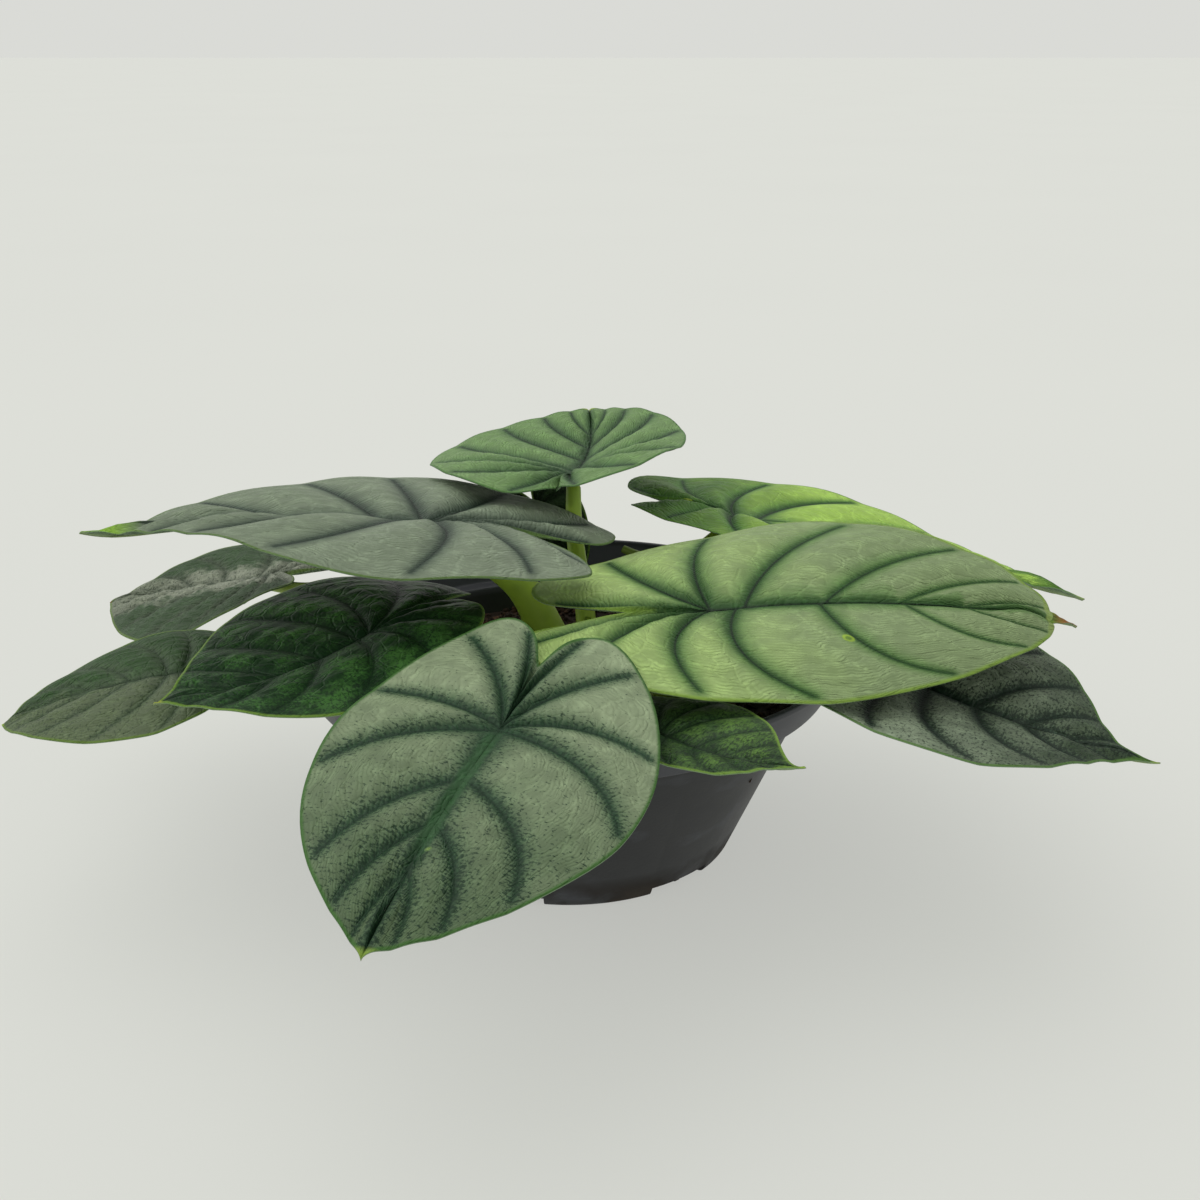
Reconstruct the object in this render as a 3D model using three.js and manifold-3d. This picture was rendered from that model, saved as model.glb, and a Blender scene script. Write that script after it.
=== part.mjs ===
// Potted silver dragon alocasia: a low rosette of twelve leaves in a round nursery pot.
// Millimetres, +Z up. The origin is the middle of the pot's flat underside and the front faces -Y.
import * as THREE from 'three';
import { mergeVertices } from 'three/addons/utils/BufferGeometryUtils.js';
import Module from 'manifold-3d';

const wasm = await Module();
wasm.setup();

// Nursery pot
const potHeight = 59.2;
const rimRadius = 75;
const collarHeight = 11.6;
const collarFootRadius = 69.3;
const bodyTopRadius = 64.9;
const baseRadius = 44.5;
const wall = 1.5;
const floorThickness = 2;
const insideFloorRadius = 43.9;
const potSides = 64;
const notchCount = 6;
const notchAngle = 24;
const notchHeight = 2.8;
const notchDepth = 6;
const firstNotch = -50;
const rimRounding = 0.4;
const lipHeight = 1.6;
const baseRounding = 1.2;

// Potting mix
const soilLevel = 42;
const soilMound = 2;
const soilSides = 48;
const crownDepth = 9;
const crownSides = 14;
const crownFootShare = 0.7;
const crownTopShare = 0.8;
const stalkSides = 8;
const stalkStep = 6;
const seatGap = 0.35;
const stalkTaper = 0.7;
const crumbHeight = 0.7;
const soilRings = [0.9, 0.78, 0.64, 0.5, 0.36, 0.22, 0.1];

// Leaves
const bladeThickness = 0.8;
const quiltShare = 0.018;
const basalVein = 0.47;
const rootReach = 0.92;
const rootFall = 1.15;
const veinBow = 0.14;
const shoulder = 0.5;
const lobeTip = 0.8;
const marginPlaces = [
  0, 0.03, 0.07, 0.11, 0.15, 0.19, 0.24, 0.29, 0.35, 0.41, 0.47, 0.53, 0.595, 0.66, 0.74, 0.82, 0.91, 1,
];
const veinPlaces = [0, 0.11, 0.19, 0.29, 0.41, 0.53, 0.66, 0.82, 1];
const ringPlaces = [0, 0.25, 0.5, 0.78, 1];
const bendSteps = 12;

// One entry a leaf. The place is where the leaf stalk meets the blade. Heading, pitch, roll and the
// bends are degrees, lengths are millimetres, and pairs are the leaf's own left and right side.
// widest, lobeSpread, sinus, point and fullness shape the outline as shares of its length or width.
const leaves = [
  {
    name: 'top', color: 0x5f8a55,
    at: [0.5, 22, 95], heading: 79, pitch: -6, roll: -8, twist: 0,
    length: 69, halfWidth: [42, 31], lobe: [28, 24],
    arch: -15, lobeBend: 21, curl: 3, sweep: 15, fold: 19, droop: [20, 22],
    widest: 0.12, lobeSpread: 0.32, sinus: 0.7, point: 0.15, fullness: 1.04,
  },
  {
    name: 'silver_left', color: 0x84958a,
    at: [-35.5, -18, 93.8], heading: 183, pitch: 6, roll: 9, twist: 1,
    length: 83, halfWidth: [49, 43], lobe: [43, 47],
    arch: 12, lobeBend: 26, curl: -26, sweep: 14, fold: 10, droop: [33, 6],
    widest: 0.1, lobeSpread: 0.44, sinus: 0.3, point: 0.75, fullness: 0.8,
  },
  {
    name: 'green_right', color: 0x7fa465,
    at: [34, -46, 81.2], heading: 5, pitch: 5, roll: 7, twist: 14,
    length: 82, halfWidth: [44, 37], lobe: [41, 48],
    arch: 16, lobeBend: -9, curl: 10, sweep: -2, fold: 8, droop: [23, 27],
    widest: 0.12, lobeSpread: 0.44, sinus: 0.3, point: -0.3, fullness: 0.96,
  },
  {
    name: 'back_right', color: 0x456f3c,
    at: [46, 30, 80.4], heading: -13, pitch: -5, roll: -11, twist: -1,
    length: 99, halfWidth: [44, 25], lobe: [35, 28],
    arch: 12, lobeBend: -8, curl: -7, sweep: 5, fold: 4, droop: [-10, 23],
    widest: 0.14, lobeSpread: 0.4, sinus: 0.28, point: 0.8, fullness: 0.84,
  },
  {
    name: 'silver_front', color: 0x7d9272,
    at: [-13.5, -102, 75.4], heading: 252, pitch: -4, roll: -8, twist: 3,
    length: 64, halfWidth: [35, 30], lobe: [39, 38],
    arch: 14, lobeBend: -34, curl: -7, sweep: 2, fold: 2, droop: [8, 4],
    widest: 0.13, lobeSpread: 0.3, sinus: 0.7, point: 0.25, fullness: 1.12,
  },
  {
    name: 'dark_left', color: 0x2c5230,
    at: [-46.5, -46, 75.6], heading: 222, pitch: -15, roll: 6, twist: -4,
    length: 53, halfWidth: [29, 39], lobe: [24, 44],
    arch: -20, lobeBend: 47, curl: -3, sweep: -15, fold: 6, droop: [26, 1],
    widest: 0.11, lobeSpread: 0.34, sinus: 0.7, point: 0.5, fullness: 1.08,
  },
  {
    name: 'far_left_upper', color: 0x626c61,
    at: [-85.5, 20, 65.8], heading: 158, pitch: -13, roll: 2, twist: -12,
    length: 56, halfWidth: [36, 30], lobe: [17, 25],
    arch: 5, lobeBend: 15, curl: -4, sweep: 4, fold: 6, droop: [26, -1],
    widest: 0.12, lobeSpread: 0.42, sinus: 0.3, point: 0.2, fullness: 0.96,
  },
  {
    name: 'far_left_lower', color: 0x56695a,
    at: [-93.5, -42, 63.8], heading: 188, pitch: -6, roll: -4, twist: 1,
    length: 46, halfWidth: [27, 22], lobe: [12, 16],
    arch: 21, lobeBend: 9, curl: 1, sweep: -10, fold: 7, droop: [21, 9],
    widest: 0.11, lobeSpread: 0.42, sinus: 0.3, point: 0.1, fullness: 1.04,
  },
  {
    name: 'small_front', color: 0x33552f,
    at: [21, -82, 67], heading: -51, pitch: 1, roll: 3, twist: 11,
    length: 41, halfWidth: [18, 11], lobe: [16, 12],
    arch: -16, lobeBend: 9, curl: -17, sweep: 7, fold: 11, droop: [16, 15],
    widest: 0.11, lobeSpread: 0.42, sinus: 0.3, point: 0.8, fullness: 0.9,
  },
  {
    name: 'dark_right', color: 0x40584a,
    at: [82.5, -50, 64.6], heading: -34, pitch: -11, roll: 8, twist: -6,
    length: 57, halfWidth: [33, 36], lobe: [18, 25],
    arch: -4, lobeBend: 11, curl: -14, sweep: 13, fold: 10, droop: [10, -6],
    widest: 0.16, lobeSpread: 0.46, sinus: 0.3, point: 1.1, fullness: 1.16,
  },
  {
    name: 'young_back', color: 0x24361f,
    at: [-10, 37, 81], heading: -8, pitch: -60, roll: 68, twist: 0,
    length: 27, halfWidth: [12, 13], lobe: [9, 9],
    arch: 6, lobeBend: 6, curl: 0, sweep: 0, fold: 5, droop: [10, 10],
    widest: 0.12, lobeSpread: 0.45, sinus: 0.3, point: 0.4, fullness: 1,
  },
  {
    name: 'small_right', color: 0x5a7a3a,
    at: [95, -14, 73], heading: -6, pitch: -8, roll: 4, twist: 0,
    length: 36, halfWidth: [9, 9], lobe: [8, 8],
    arch: 6, lobeBend: 6, curl: 0, sweep: 0, fold: 8, droop: [10, 10],
    widest: 0.12, lobeSpread: 0.45, sinus: 0.3, point: 0.6, fullness: 1,
  },
];

// Leaf stalks by crown: each route runs from inside the crown to the blade's place. One without a
// leaf is a sheath or a rolled young leaf and ends at its route's last point.
const crowns = [
  {
    name: 'crown_main', foot: [4, -12], radius: 11, top: 50, color: 0x8fa22c,
    stalks: [
      { leaf: 'top', base: 3.2, tip: 2, route: [[5, -7, 46], [4, 4, 62], [1, 17, 80]] },
      {
        leaf: 'silver_left', base: 7.4, tip: 2,
        route: [[0, -12, 47], [-5, -12, 60], [-12, -13, 75], [-25, -16, 86]],
      },
      { base: 5, tip: 1, route: [[4, -16, 46], [3, -20, 58], [5, -25, 71]] },
      { leaf: 'green_right', base: 3.6, tip: 2, route: [[8, -16, 46], [15, -26, 61], [27, -40, 74]] },
      { leaf: 'back_right', base: 3.2, tip: 2, route: [[9, -8, 46], [20, 8, 61], [36, 22, 73]] },
      { leaf: 'silver_front', base: 3.6, tip: 2, route: [[1, -18, 46], [-3, -44, 57], [-9, -74, 64.8]] },
    ],
  },
  {
    name: 'crown_left', foot: [-17, -8], radius: 6.5, top: 48, color: 0x7f9430,
    stalks: [
      { leaf: 'dark_left', base: 3, tip: 1.8, route: [[-17, -11, 46], [-24, -24, 57], [-36, -37, 67]] },
      {
        leaf: 'far_left_upper', base: 3, tip: 1.7,
        route: [[-17, -5, 46], [-36, 7, 57], [-64, 16, 63.5], [-76, 18, 63.2]],
      },
      {
        leaf: 'far_left_lower', base: 2.8, tip: 1.6,
        route: [[-19, -9, 46], [-42, -19, 57.5], [-66, -30, 63.4], [-81, -36.5, 61.8]],
      },
    ],
  },
  {
    name: 'crown_right', foot: [22, -16], radius: 5.5, top: 48, color: 0x7f9430,
    stalks: [
      {
        leaf: 'small_front', base: 2.5, tip: 1.5,
        route: [[20, -19, 46], [18, -46, 56.5], [16, -72, 62.8]],
      },
      {
        leaf: 'dark_right', base: 2.8, tip: 1.6,
        route: [[23, -17, 46], [40, -28, 57], [62, -40, 63.4], [74, -46, 62.6]],
      },
      { leaf: 'small_right', base: 2.2, tip: 1.2, route: [[22, -13, 46], [44, -8, 59], [72, -9, 68.5]] },
    ],
  },
  {
    name: 'crown_back', foot: [-12, 50], radius: 3.6, top: 47, color: 0x8fa22c,
    stalks: [
      { leaf: 'young_back', base: 2.2, tip: 1.3, route: [[-12, 50, 44], [-14, 52, 62], [-12.5, 46, 76]] },
    ],
  },
  {
    name: 'crown_offset', foot: [33, 40], radius: 4, top: 47, color: 0x9aab7a,
    stalks: [
      { base: 3, tip: 1.2, route: [[33, 40, 44], [31, 45, 57], [15, 53, 63.2]] },
    ],
  },
];

const radians = THREE.MathUtils.degToRad;

// Points on a cubic curve from start to end
function cubicPoint(start, first, second, end, t) {
  return new THREE.CubicBezierCurve(start, first, second, end).getPoint(t);
}

// The blade's flat outline on one side: place 0 is the tip and place 1 the notch between the lobes.
function marginPoint(leaf, side, place) {
  const { length, point, widest, fullness } = leaf;
  const halfWidth = leaf.halfWidth[side];
  const lobe = leaf.lobe[side];
  const wideAt = widest * length;
  const spread = leaf.lobeSpread * halfWidth;
  const notch = (leaf.sinus * (leaf.lobe[0] + leaf.lobe[1])) / 2;
  const tip = new THREE.Vector2(length, 0);
  const wide = new THREE.Vector2(wideAt, halfWidth);
  const lobeEnd = new THREE.Vector2(-lobe, spread);
  if (place < shoulder) {
    const leaving = new THREE.Vector2(length * (1 - 0.3 * point), length * (0.05 - 0.04 * point));
    const arriving = new THREE.Vector2(wideAt + 0.62 * (length - wideAt) * fullness, halfWidth);
    return cubicPoint(tip, leaving, arriving, wide, place / shoulder);
  }
  if (place < lobeTip) {
    const leaving = new THREE.Vector2(wideAt - 0.5 * (wideAt + lobe), halfWidth);
    const arriving = new THREE.Vector2(-lobe, spread + 0.42 * (halfWidth - spread));
    return cubicPoint(wide, leaving, arriving, lobeEnd, (place - shoulder) / (lobeTip - shoulder));
  }
  const leaving = new THREE.Vector2(-lobe, 0.35 * spread);
  const arriving = new THREE.Vector2(-notch - 0.35 * (lobe - notch), 0.06 * halfWidth);
  const bottom = new THREE.Vector2(-notch, 0);
  return cubicPoint(lobeEnd, leaving, arriving, bottom, (place - lobeTip) / (1 - lobeTip));
}

// Every place on the blade lies on a side vein that leaves the midrib, or the stalk, and bows to the edge.
function planPoint(leaf, side, place, reach) {
  const edge = marginPoint(leaf, side, place);
  const rootShare = rootReach * Math.max(1 - place / basalVein, 0) ** rootFall;
  const root = new THREE.Vector2(rootShare * leaf.length, 0);
  const chord = edge.clone().sub(root);
  const bow = veinBow * Math.sin(Math.PI * place ** 0.8);
  const middle = root.clone().addScaledVector(chord, 0.5);
  middle.add(new THREE.Vector2(-chord.y * bow, chord.x * bow));
  return new THREE.QuadraticBezierCurve(root, middle, edge).getPoint(reach);
}

// Forward, left and up directions of the blade at a distance along its midrib
function midribFrame(leaf, along) {
  const share = along / leaf.length;
  const curl = leaf.curl * THREE.MathUtils.clamp((share - 0.8) / 0.2, 0, 2) ** 2;
  const bend = share > 0 ? leaf.arch * share + curl : leaf.lobeBend * share;
  const heading = radians(leaf.heading + leaf.sweep * share);
  const pitch = radians(leaf.pitch - bend);
  const roll = radians(leaf.roll + leaf.twist * share);
  const level = Math.cos(pitch);
  const forward = new THREE.Vector3(level * Math.cos(heading), level * Math.sin(heading), Math.sin(pitch));
  const flatLeft = new THREE.Vector3(-Math.sin(heading), Math.cos(heading), 0);
  const flatUp = forward.clone().cross(flatLeft);
  const left = flatLeft.clone().multiplyScalar(Math.cos(roll)).addScaledVector(flatUp, Math.sin(roll));
  const up = flatUp.multiplyScalar(Math.cos(roll)).addScaledVector(flatLeft, -Math.sin(roll));
  return { forward, left, up };
}

// Raised panel between two side veins: 0 on a vein, 1 half way to the next
function panelRise(place) {
  const next = Math.max(veinPlaces.findIndex((vein) => vein > place - 1e-6), 1);
  const low = veinPlaces[next - 1];
  const share = THREE.MathUtils.clamp((place - low) / (veinPlaces[next] - low), 0, 1);
  return Math.sin(Math.PI * share) ** 2;
}

// A place on the blade's middle surface and the direction square to it
function bladePoint(leaf, side, place, reach) {
  const plan = planPoint(leaf, side, place, reach);
  const spot = new THREE.Vector3(...leaf.at);
  for (let step = 0; step < bendSteps; step += 1) {
    const frame = midribFrame(leaf, (plan.x * (step + 0.5)) / bendSteps);
    spot.addScaledVector(frame.forward, plan.x / bendSteps);
  }
  const { left, up } = midribFrame(leaf, plan.x);
  const outward = left.clone().multiplyScalar(side === 0 ? 1 : -1);
  const bendRate = leaf.droop[side] / leaf.halfWidth[side];
  for (let step = 0; step < bendSteps; step += 1) {
    const slope = radians(leaf.fold - (bendRate * plan.y * (step + 0.5)) / bendSteps);
    spot.addScaledVector(outward, (Math.cos(slope) * plan.y) / bendSteps);
    spot.addScaledVector(up, (Math.sin(slope) * plan.y) / bendSteps);
  }
  const lean = radians(leaf.fold - bendRate * plan.y) * (plan.y > 0 ? 1 : 0);
  const square = up.clone().multiplyScalar(Math.cos(lean)).addScaledVector(outward, -Math.sin(lean));
  const rise = quiltShare * leaf.length * panelRise(place) * Math.sin(Math.PI * Math.min(reach, 0.9));
  spot.addScaledVector(square, rise);
  return { spot, square };
}

// A closed blade: the same triangles on both faces and a thin band along the edge
function bladeGeometry(leaf, thickness) {
  const places = [
    ...marginPlaces.map((place) => ({ side: 1, place })).reverse(),
    ...marginPlaces.slice(1).map((place) => ({ side: 0, place })),
  ];
  const positions = [];
  const corners = [];
  const known = new Map();
  const cornerIndex = (spot, square, half) => {
    const place = spot.clone().addScaledVector(square, half);
    const key = `${half > 0}${spot.toArray().map((value) => value.toFixed(3))}`;
    if (!known.has(key)) {
      known.set(key, positions.length / 3);
      positions.push(...place.toArray());
    }
    return known.get(key);
  };
  const rows = places.map(({ side, place }) => ringPlaces.map((reach) => {
    const { spot, square } = bladePoint(leaf, side, place, reach);
    return [cornerIndex(spot, square, thickness / 2), cornerIndex(spot, square, -thickness / 2)];
  }));
  const addTriangle = (a, b, c) => {
    if (a !== b && b !== c && a !== c) corners.push(a, b, c);
  };
  for (let row = 0; row + 1 < rows.length; row += 1) {
    for (let ring = 0; ring + 1 < ringPlaces.length; ring += 1) {
      const [a, b] = [rows[row][ring], rows[row][ring + 1]];
      const [c, d] = [rows[row + 1][ring], rows[row + 1][ring + 1]];
      addTriangle(a[0], b[0], d[0]);
      addTriangle(a[0], d[0], c[0]);
      addTriangle(a[1], d[1], b[1]);
      addTriangle(a[1], c[1], d[1]);
    }
    const [near, far] = [rows[row].at(-1), rows[row + 1].at(-1)];
    addTriangle(near[0], near[1], far[1]);
    addTriangle(near[0], far[1], far[0]);
  }
  const geometry = new THREE.BufferGeometry();
  geometry.setAttribute('position', new THREE.Float32BufferAttribute(positions, 3));
  geometry.setIndex(corners);
  return geometry;
}

// Solids for cutting and joining
function toSolid(geometry) {
  const bare = geometry.clone();
  bare.deleteAttribute('normal');
  bare.deleteAttribute('uv');
  const merged = mergeVertices(bare, 1e-4);
  const vertProperties = new Float32Array(merged.attributes.position.array);
  const triVerts = new Uint32Array(merged.index.array);
  return new wasm.Manifold(new wasm.Mesh({ numProp: 3, vertProperties, triVerts }));
}

function toGeometry(solid) {
  const mesh = solid.getMesh();
  const geometry = new THREE.BufferGeometry();
  geometry.setAttribute('position', new THREE.BufferAttribute(mesh.vertProperties, 3));
  geometry.setIndex(new THREE.BufferAttribute(mesh.triVerts, 1));
  return geometry;
}

function largestBody(solid) {
  return solid.decompose().sort((a, b) => b.volume() - a.volume())[0];
}

// A tapered stalk: a round section drawn along the route, then narrowed ring by ring
function stalkGeometry(stalk, leaf) {
  const places = leaf ? [...stalk.route, leaf.at] : stalk.route;
  const points = places.map((place) => new THREE.Vector3(...place));
  const curve = new THREE.CatmullRomCurve3(points, false, 'centripetal');
  const steps = Math.round(curve.getLength() / stalkStep);
  const section = new THREE.Shape();
  for (let corner = 0; corner < stalkSides; corner += 1) {
    const angle = (2 * Math.PI * corner) / stalkSides;
    section.lineTo(Math.cos(angle), Math.sin(angle));
  }
  const geometry = new THREE.ExtrudeGeometry(section, { steps, bevelEnabled: false, extrudePath: curve });
  const centres = curve.getSpacedPoints(steps);
  const spots = geometry.attributes.position;
  const spot = new THREE.Vector3();
  for (let index = 0; index < spots.count; index += 1) {
    spot.fromBufferAttribute(spots, index);
    const distances = centres.map((centre) => centre.distanceTo(spot));
    const ring = distances.indexOf(Math.min(...distances));
    const radius = THREE.MathUtils.lerp(stalk.base, stalk.tip, (ring / steps) ** stalkTaper);
    spot.sub(centres[ring]).multiplyScalar(radius).add(centres[ring]);
    spots.setXYZ(index, spot.x, spot.y, spot.z);
  }
  return geometry;
}

function latheGeometry(profile, sides) {
  const geometry = new THREE.LatheGeometry(profile.map(([r, z]) => new THREE.Vector2(r, z)), sides);
  return geometry.rotateX(Math.PI / 2);
}

// The crown: a short swollen stem with its sheaths, rooted in a hole in the potting mix
function crownSolid(crown) {
  const { radius, top } = crown;
  const foot = soilLevel - crownDepth;
  const stem = latheGeometry([
    [0, foot], [crownFootShare * radius, foot], [radius, soilLevel - 4], [radius, soilLevel + 2],
    [crownTopShare * radius, top - 1.5], [0, top],
  ], crownSides);
  stem.translate(crown.foot[0], crown.foot[1], 0);
  let solid = toSolid(stem);
  for (const stalk of crown.stalks) {
    const leaf = leaves.find(({ name }) => name === stalk.leaf);
    let body = toSolid(stalkGeometry(stalk, leaf));
    if (leaf) body = largestBody(body.subtract(toSolid(bladeGeometry(leaf, bladeThickness + 2 * seatGap))));
    solid = solid.add(body);
  }
  return solid;
}

const collarFoot = potHeight - collarHeight;

// Radius of the pot's inside at a height, from its floor to the step under the collar
function insideRadius(height) {
  const share = (height - floorThickness) / (collarFoot + wall - floorThickness);
  return THREE.MathUtils.lerp(insideFloorRadius, bodyTopRadius - wall, share);
}

// The pot: one stepped wall turned about Z, with drain notches cut through its bottom corner
function potSolid() {
  const pot = toSolid(latheGeometry([
    [0, 0], [baseRadius - baseRounding, 0], [baseRadius, baseRounding], [bodyTopRadius, collarFoot],
    [collarFootRadius, collarFoot], [rimRadius - rimRounding, potHeight - lipHeight],
    [rimRadius, potHeight - lipHeight / 2], [rimRadius - rimRounding, potHeight],
    [rimRadius - wall, potHeight], [rimRadius - wall - rimRounding, potHeight - lipHeight],
    [collarFootRadius - wall, collarFoot + wall], [bodyTopRadius - wall, collarFoot + wall],
    [insideRadius(floorThickness), floorThickness], [0, floorThickness],
  ], potSides));
  const half = radians(notchAngle / 2);
  const inner = baseRadius - notchDepth;
  const outer = baseRadius + notchDepth;
  const sector = new THREE.Shape();
  sector.absarc(0, 0, outer, -half, half, false);
  sector.absarc(0, 0, inner, half, -half, true);
  const depth = notchHeight + 1;
  const cutter = new THREE.ExtrudeGeometry(sector, { depth, bevelEnabled: false, curveSegments: 5 });
  cutter.translate(0, 0, -1);
  let solid = pot;
  for (let notch = 0; notch < notchCount; notch += 1) {
    const turned = cutter.clone().rotateZ(radians(firstNotch + (360 * notch) / notchCount));
    solid = solid.subtract(toSolid(turned));
  }
  return solid;
}

// The potting mix: a crumbly mound that fills the pot to below its collar, with a hole for each crown
function soilSolid() {
  const bottom = floorThickness + seatGap;
  const edge = insideRadius(soilLevel) - seatGap;
  const rings = soilRings.map((share) => [share * edge, soilLevel]);
  const soil = latheGeometry([
    [0, bottom], [insideRadius(bottom) - seatGap, bottom], [edge, soilLevel], ...rings, [0, soilLevel],
  ], soilSides);
  const spots = soil.attributes.position;
  for (let index = 0; index < spots.count; index += 1) {
    const [x, y, z] = [spots.getX(index), spots.getY(index), spots.getZ(index)];
    const inside = 1 - Math.hypot(x, y) / edge;
    if (z > soilLevel - 1 && inside > 0.02) {
      const lumps = Math.sin(0.31 * x + 1.3) * Math.cos(0.27 * y) + 0.5 * Math.sin(0.9 * x - 0.7 * y);
      const crumbs = crumbHeight * (lumps * Math.min(1, 4 * inside) - 1);
      spots.setZ(index, z + soilMound * inside ** 0.5 + crumbs);
    }
  }
  let solid = toSolid(soil);
  for (const crown of crowns) {
    const holeRadius = crown.radius + seatGap;
    const hole = new THREE.CylinderGeometry(holeRadius, holeRadius, 4 * crownDepth, crownSides);
    const middle = soilLevel + crownDepth - seatGap;
    hole.rotateX(Math.PI / 2).translate(crown.foot[0], crown.foot[1], middle);
    solid = solid.subtract(toSolid(hole));
  }
  return solid;
}

function addPiece(group, name, geometry, look) {
  geometry.computeVertexNormals();
  const mesh = new THREE.Mesh(geometry, new THREE.MeshStandardMaterial(look));
  mesh.name = name;
  group.add(mesh);
}

const plant = new THREE.Group();
addPiece(plant, 'pot', toGeometry(potSolid()), { color: 0x2f3136, roughness: 0.55, metalness: 0 });
addPiece(plant, 'soil', toGeometry(soilSolid()), { color: 0x2a211a, roughness: 0.95, metalness: 0 });
for (const crown of crowns) {
  const look = { color: crown.color, roughness: 0.5, metalness: 0 };
  addPiece(plant, crown.name, toGeometry(crownSolid(crown)), look);
}
for (const leaf of leaves) {
  addPiece(plant, `blade_${leaf.name}`, bladeGeometry(leaf, bladeThickness),
    { color: leaf.color, roughness: 0.5, metalness: 0 });
}

export default plant;
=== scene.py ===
import math

import bpy
import numpy as np
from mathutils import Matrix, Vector
from mathutils.kdtree import KDTree


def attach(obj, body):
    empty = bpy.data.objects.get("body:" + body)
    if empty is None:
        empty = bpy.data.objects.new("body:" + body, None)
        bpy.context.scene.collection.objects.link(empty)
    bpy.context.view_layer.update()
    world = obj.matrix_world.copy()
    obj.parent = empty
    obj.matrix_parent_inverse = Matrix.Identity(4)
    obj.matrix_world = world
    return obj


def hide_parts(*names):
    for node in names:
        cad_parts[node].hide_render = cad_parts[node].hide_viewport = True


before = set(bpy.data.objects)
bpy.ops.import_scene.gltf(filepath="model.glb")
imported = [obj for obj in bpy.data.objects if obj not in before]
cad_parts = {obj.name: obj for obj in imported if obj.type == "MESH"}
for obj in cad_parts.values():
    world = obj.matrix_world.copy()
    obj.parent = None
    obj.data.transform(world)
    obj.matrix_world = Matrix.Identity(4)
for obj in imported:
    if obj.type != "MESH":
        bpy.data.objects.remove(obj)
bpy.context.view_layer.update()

millimetre = 0.001


# Small tools for colours, nodes and meshes
def toLinear(hexColour):
    channels = [int(hexColour[place:place + 2], 16) / 255 for place in (1, 3, 5)]
    linear = [value / 12.92 if value <= 0.04045 else ((value + 0.055) / 1.055) ** 2.4 for value in channels]
    return (*linear, 1.0)


def liveSocket(sockets, name):
    # Some nodes hold one socket of a name for each type of data, and only one of them is in use
    if isinstance(name, int):
        return sockets[name]
    return next(socket for socket in sockets if socket.enabled and name in ("", socket.name))


def addNode(tree, kind, inputs=None, **settings):
    # An input is a plain value, a socket, or a node, which stands for its first output in use
    node = tree.nodes.new(kind)
    for setting, value in settings.items():
        setattr(node, setting, value)
    for name, value in (inputs or {}).items():
        socket = liveSocket(node.inputs, name)
        if isinstance(value, bpy.types.Node):
            value = liveSocket(value.outputs, "")
        if isinstance(value, bpy.types.NodeSocket):
            tree.links.new(value, socket)
        else:
            socket.default_value = value
    return node


def feed(tree, node, target, name):
    tree.links.new(liveSocket(node.outputs, ""), target.inputs[name])


def calculate(tree, operation, *values, **settings):
    return addNode(tree, "ShaderNodeMath", dict(enumerate(values)), operation=operation, **settings)


def mapRange(tree, value, low, high, start=0.0, end=1.0, curve="LINEAR"):
    # Turns low to high into start to end, and holds the value beyond them
    return addNode(tree, "ShaderNodeMapRange", {
        "Value": value, "From Min": low, "From Max": high, "To Min": start, "To Max": end},
        interpolation_type=curve)


def mixColour(tree, factor, *tints, **settings):
    # A tint is a hex colour or a node
    first, second = [toLinear(tint) if isinstance(tint, str) else tint for tint in tints]
    return addNode(tree, "ShaderNodeMix", {"Factor": factor, "A": first, "B": second},
                   data_type="RGBA", **settings)


def addNoise(tree, place, scale, detail, roughness=0.5):
    return addNode(tree, "ShaderNodeTexNoise", {
        "Vector": place, "Scale": scale, "Detail": detail, "Roughness": roughness})


def addBump(tree, height, strength, distance, **before):
    # Normal may give the bump that this one adds to
    return addNode(tree, "ShaderNodeBump", {
        "Height": height, "Strength": strength, "Distance": distance, **before})


def splitVector(tree, vector):
    return addNode(tree, "ShaderNodeSeparateXYZ", {"Vector": vector}).outputs


def objectPlace(tree):
    return addNode(tree, "ShaderNodeTexCoord").outputs["Object"]


def newMaterial(name, **constants):
    # A Principled surface whose constants sit on its own sockets
    material = bpy.data.materials.new(name)
    material.use_nodes = True
    surface = material.node_tree.nodes["Principled BSDF"]
    for socket, value in constants.items():
        surface.inputs[socket.replace("_", " ")].default_value = value
    return material, material.node_tree, surface


def newTree(name, inputs):
    # A geometry node group with named inputs, the last of them the material of what it makes
    tree = bpy.data.node_groups.new(name, "GeometryNodeTree")
    for label, kind in {"Geometry": "Geometry", **inputs, "Material": "Material"}.items():
        tree.interface.new_socket(label, in_out="INPUT", socket_type=f"NodeSocket{kind}")
    tree.interface.new_socket("Geometry", in_out="OUTPUT", socket_type="NodeSocketGeometry")
    return tree, addNode(tree, "NodeGroupInput").outputs


def endTree(tree, given, shape):
    real = addNode(tree, "GeometryNodeRealizeInstances", {"Geometry": shape})
    coloured = addNode(tree, "GeometryNodeSetMaterial", {"Geometry": real, "Material": given["Material"]})
    addNode(tree, "NodeGroupOutput", {"Geometry": coloured})
    return tree


def bakeModifiers(piece):
    # The evaluated shape becomes the piece's plain mesh and the modifiers go
    evaluated = piece.evaluated_get(bpy.context.evaluated_depsgraph_get())
    mesh = bpy.data.meshes.new_from_object(evaluated)
    piece.modifiers.clear()
    piece.data = mesh


def applyTree(piece, tree, values):
    modifier = piece.modifiers.new(tree.name, "NODES")
    modifier.node_group = tree
    inputs = {item.name: item.identifier for item in tree.interface.items_tree if item.in_out == "INPUT"}
    for name, value in values.items():
        modifier[inputs[name]] = value
    bakeModifiers(piece)


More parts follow.
